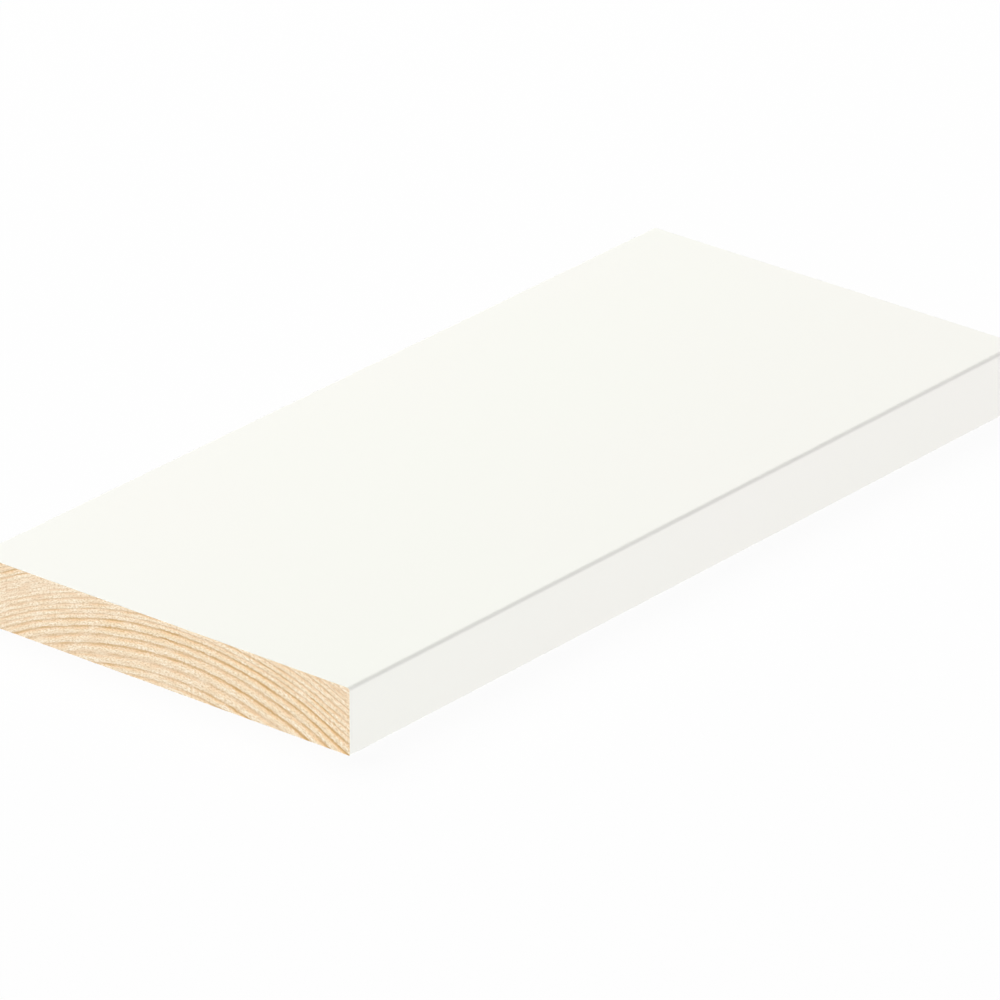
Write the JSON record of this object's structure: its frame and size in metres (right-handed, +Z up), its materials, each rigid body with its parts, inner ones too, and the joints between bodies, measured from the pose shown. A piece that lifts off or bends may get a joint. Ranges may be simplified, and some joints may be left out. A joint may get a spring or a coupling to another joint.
{
  "type": "window reveal trim",
  "caption": "Planed softwood board, painted white on its face and rounded long edges, sawn square with bare end grain, that lines the reveal beside a window.",
  "frame": {"origin": "middle of the back, which lies on the floor", "axes": "+X along the board's length, +Y across its width away from the room edge, +Z up through its thickness to the painted face"},
  "size_m": [0.265, 0.12, 0.018],
  "materials": {
    "white_painted_pine": "satin white paint on the face and both long edges, bare sawn pine on the ends, bare planed pine on the back"
  },
  "bodies": {
    "root": {"reveal_board": "white_painted_pine"}
  },
  "joints": []
}
